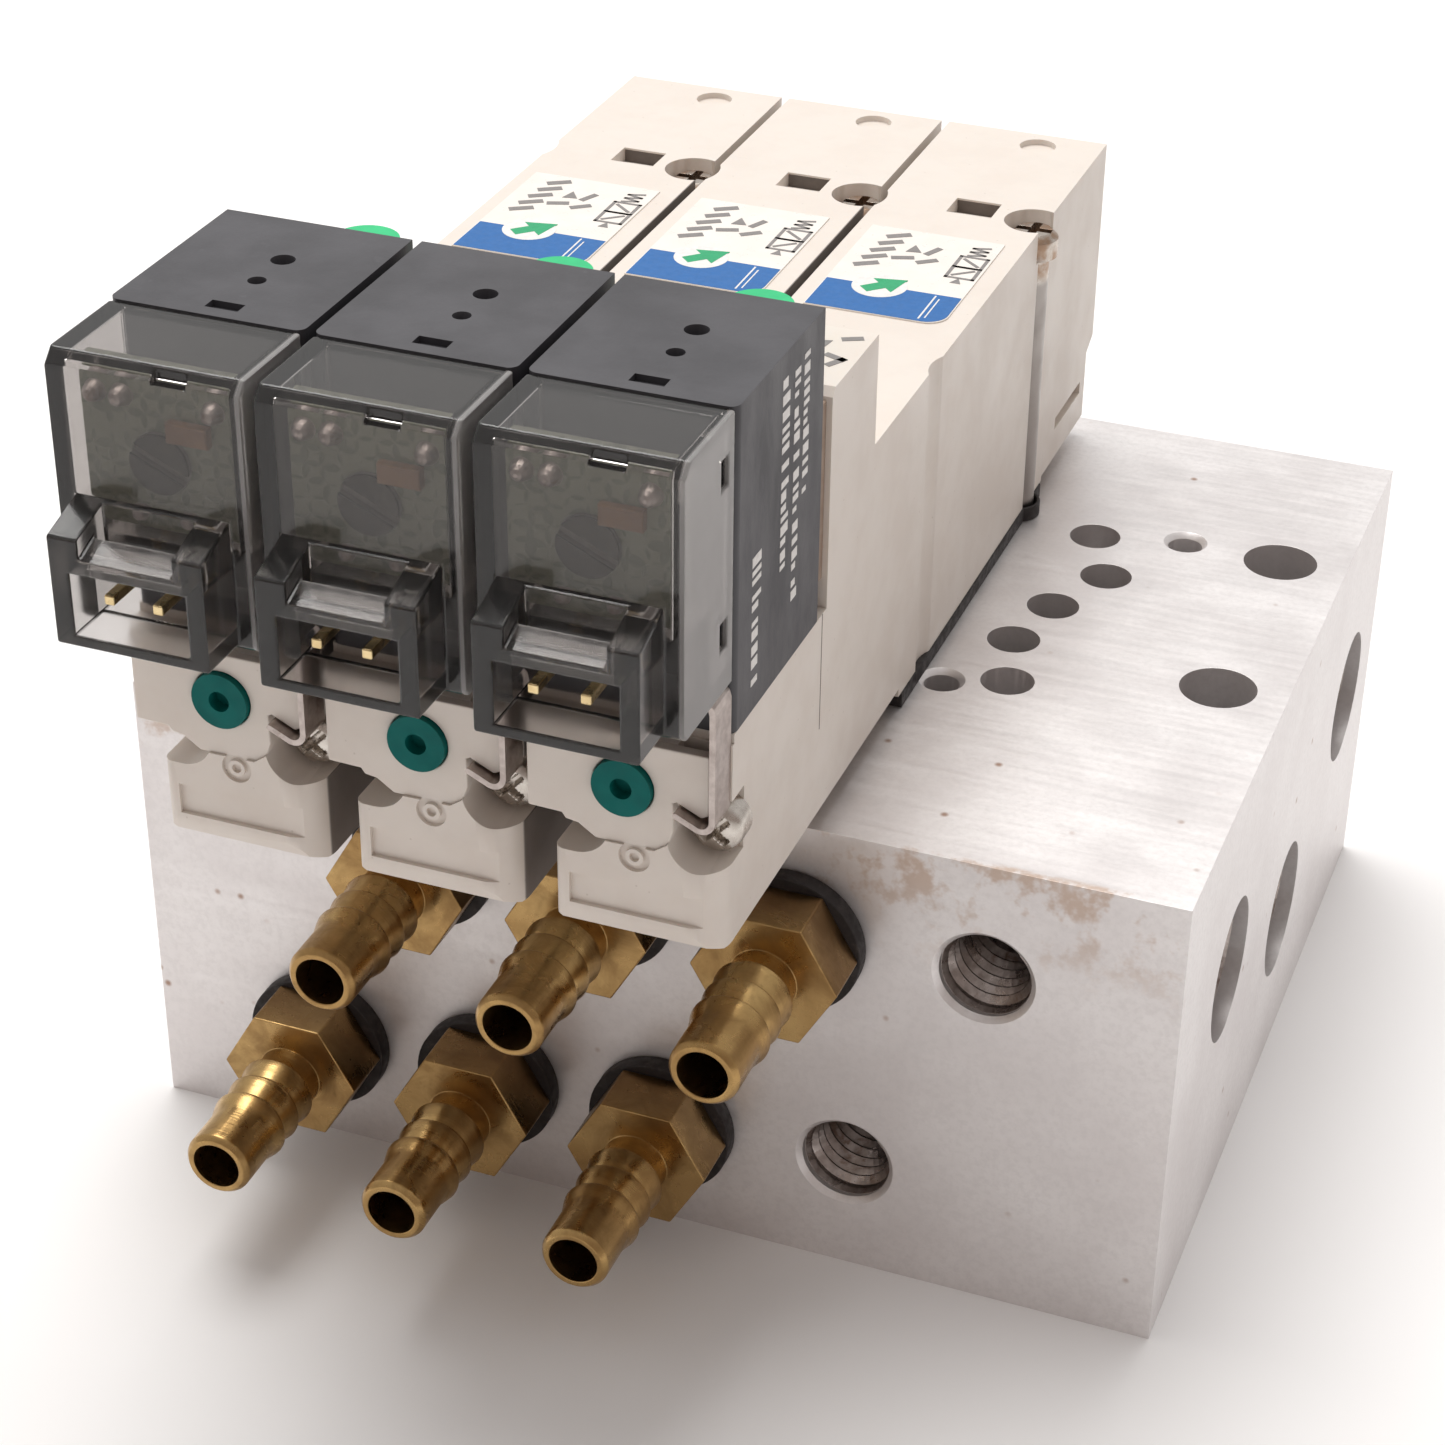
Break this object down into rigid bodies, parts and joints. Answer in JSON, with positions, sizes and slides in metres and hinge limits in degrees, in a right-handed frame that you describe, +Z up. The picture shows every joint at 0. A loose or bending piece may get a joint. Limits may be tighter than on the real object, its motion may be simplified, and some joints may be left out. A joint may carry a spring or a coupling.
{
  "type": "solenoid directional valve",
  "caption": "Manifold block of pilot-operated solenoid directional valves with hose barbs and a spare station; spools, armatures and manual overrides move.",
  "frame": {"origin": "centre of the manifold block's flat bottom face", "axes": "+X along the row of stations towards the empty one, +Y to the rear, away from the sockets and hose barbs, +Z up"},
  "size_m": [0.0596, 0.073, 0.0576],
  "materials": {
    "aluminium": "fine matte, clear anodised",
    "brass": "turned, with dark patina",
    "ivory_plastic": "satin moulded",
    "black_plastic": "fine matte moulded",
    "smoke_plastic": "smoke-tinted clear moulded",
    "board": "solder-mask green-grey",
    "spool_metal": "turned",
    "black_rubber": "matte rubber",
    "teal_plastic": "satin moulded",
    "green_plastic": "satin moulded",
    "soft_steel": "turned",
    "spring_steel": "bright spring steel",
    "screw_steel": "nickel plated",
    "gold_pin": "gold plated",
    "copper_winding": "enamelled wire",
    "brown_gasket": "matte rubber",
    "label_film": "printed film"
  },
  "bodies": {
    "manifold": {"manifold_block": "aluminium", "fitting_washers": "black_rubber", "base_gaskets": "black_rubber", "coil_gaskets": "brown_gasket", "retaining_clips": "spring_steel", "front_screws": "screw_steel", "hold_down_screws": "screw_steel", "contact_pins": "gold_pin", "coil_cores": "soft_steel", "coil_windings": "copper_winding", "body_labels": "label_film", "upper_fitting_1": "brass", "lower_fitting_1": "brass", "upper_fitting_2": "brass", "lower_fitting_2": "brass", "upper_fitting_3": "brass", "lower_fitting_3": "brass", "valve_body_1": "ivory_plastic", "rear_cap_1": "ivory_plastic", "pilot_adapter_1": "ivory_plastic", "front_plate_1": "ivory_plastic", "coil_case_1": "black_plastic", "connector_cover_1": "smoke_plastic", "circuit_board_1": "board", "spool_spring_1": "spring_steel", "armature_spring_1": "spring_steel", "valve_body_2": "ivory_plastic", "rear_cap_2": "ivory_plastic", "pilot_adapter_2": "ivory_plastic", "front_plate_2": "ivory_plastic", "coil_case_2": "black_plastic", "connector_cover_2": "smoke_plastic", "circuit_board_2": "board", "spool_spring_2": "spring_steel", "armature_spring_2": "spring_steel", "valve_body_3": "ivory_plastic", "rear_cap_3": "ivory_plastic", "pilot_adapter_3": "ivory_plastic", "front_plate_3": "ivory_plastic", "coil_case_3": "black_plastic", "connector_cover_3": "smoke_plastic", "circuit_board_3": "board", "spool_spring_3": "spring_steel", "armature_spring_3": "spring_steel"},
    "spool_1": {"spool_1": "spool_metal", "spool_seals_1": "black_rubber"},
    "armature_1": {"armature_1": "soft_steel"},
    "push_override_1": {"push_override_1": "teal_plastic"},
    "turn_override_1": {"turn_override_1": "green_plastic"},
    "spool_2": {"spool_2": "spool_metal", "spool_seals_2": "black_rubber"},
    "armature_2": {"armature_2": "soft_steel"},
    "push_override_2": {"push_override_2": "teal_plastic"},
    "turn_override_2": {"turn_override_2": "green_plastic"},
    "spool_3": {"spool_3": "spool_metal", "spool_seals_3": "black_rubber"},
    "armature_3": {"armature_3": "soft_steel"},
    "push_override_3": {"push_override_3": "teal_plastic"},
    "turn_override_3": {"turn_override_3": "green_plastic"}
  },
  "joints": [
    {"name": "spool_slide_1", "type": "slide", "parent": "manifold", "child": "spool_1", "axis": [0, 1, 0], "range_m": [0, 0.0016], "stiffness_N_per_m": 100, "springref_m": -0.004, "deforming": ["spool_spring_1"]},
    {"name": "armature_slide_1", "type": "slide", "parent": "manifold", "child": "armature_1", "axis": [0, -1, 0], "range_m": [0, 0.0004], "stiffness_N_per_m": 50, "springref_m": -0.003, "deforming": ["armature_spring_1"]},
    {"name": "push_override_1", "type": "slide", "parent": "manifold", "child": "push_override_1", "axis": [0, 1, 0], "range_m": [0, 0.0008], "stiffness_N_per_m": 10, "springref_m": -0.004},
    {"name": "turn_override_1", "type": "hinge", "parent": "manifold", "child": "turn_override_1", "pos_m": [-0.01575, -0.0223, 0.0528], "axis": [0, 0, 1], "range_deg": [0, 90]},
    {"name": "spool_slide_2", "type": "slide", "parent": "manifold", "child": "spool_2", "axis": [0, 1, 0], "range_m": [0, 0.0016], "stiffness_N_per_m": 100, "springref_m": -0.004, "deforming": ["spool_spring_2"]},
    {"name": "armature_slide_2", "type": "slide", "parent": "manifold", "child": "armature_2", "axis": [0, -1, 0], "range_m": [0, 0.0004], "stiffness_N_per_m": 50, "springref_m": -0.003, "deforming": ["armature_spring_2"]},
    {"name": "push_override_2", "type": "slide", "parent": "manifold", "child": "push_override_2", "axis": [0, 1, 0], "range_m": [0, 0.0008], "stiffness_N_per_m": 10, "springref_m": -0.004},
    {"name": "turn_override_2", "type": "hinge", "parent": "manifold", "child": "turn_override_2", "pos_m": [-0.00525, -0.0223, 0.0528], "axis": [0, 0, 1], "range_deg": [0, 90]},
    {"name": "spool_slide_3", "type": "slide", "parent": "manifold", "child": "spool_3", "axis": [0, 1, 0], "range_m": [0, 0.0016], "stiffness_N_per_m": 100, "springref_m": -0.004, "deforming": ["spool_spring_3"]},
    {"name": "armature_slide_3", "type": "slide", "parent": "manifold", "child": "armature_3", "axis": [0, -1, 0], "range_m": [0, 0.0004], "stiffness_N_per_m": 50, "springref_m": -0.003, "deforming": ["armature_spring_3"]},
    {"name": "push_override_3", "type": "slide", "parent": "manifold", "child": "push_override_3", "axis": [0, 1, 0], "range_m": [0, 0.0008], "stiffness_N_per_m": 10, "springref_m": -0.004},
    {"name": "turn_override_3", "type": "hinge", "parent": "manifold", "child": "turn_override_3", "pos_m": [0.00525, -0.0223, 0.0528], "axis": [0, 0, 1], "range_deg": [0, 90]}
  ]
}
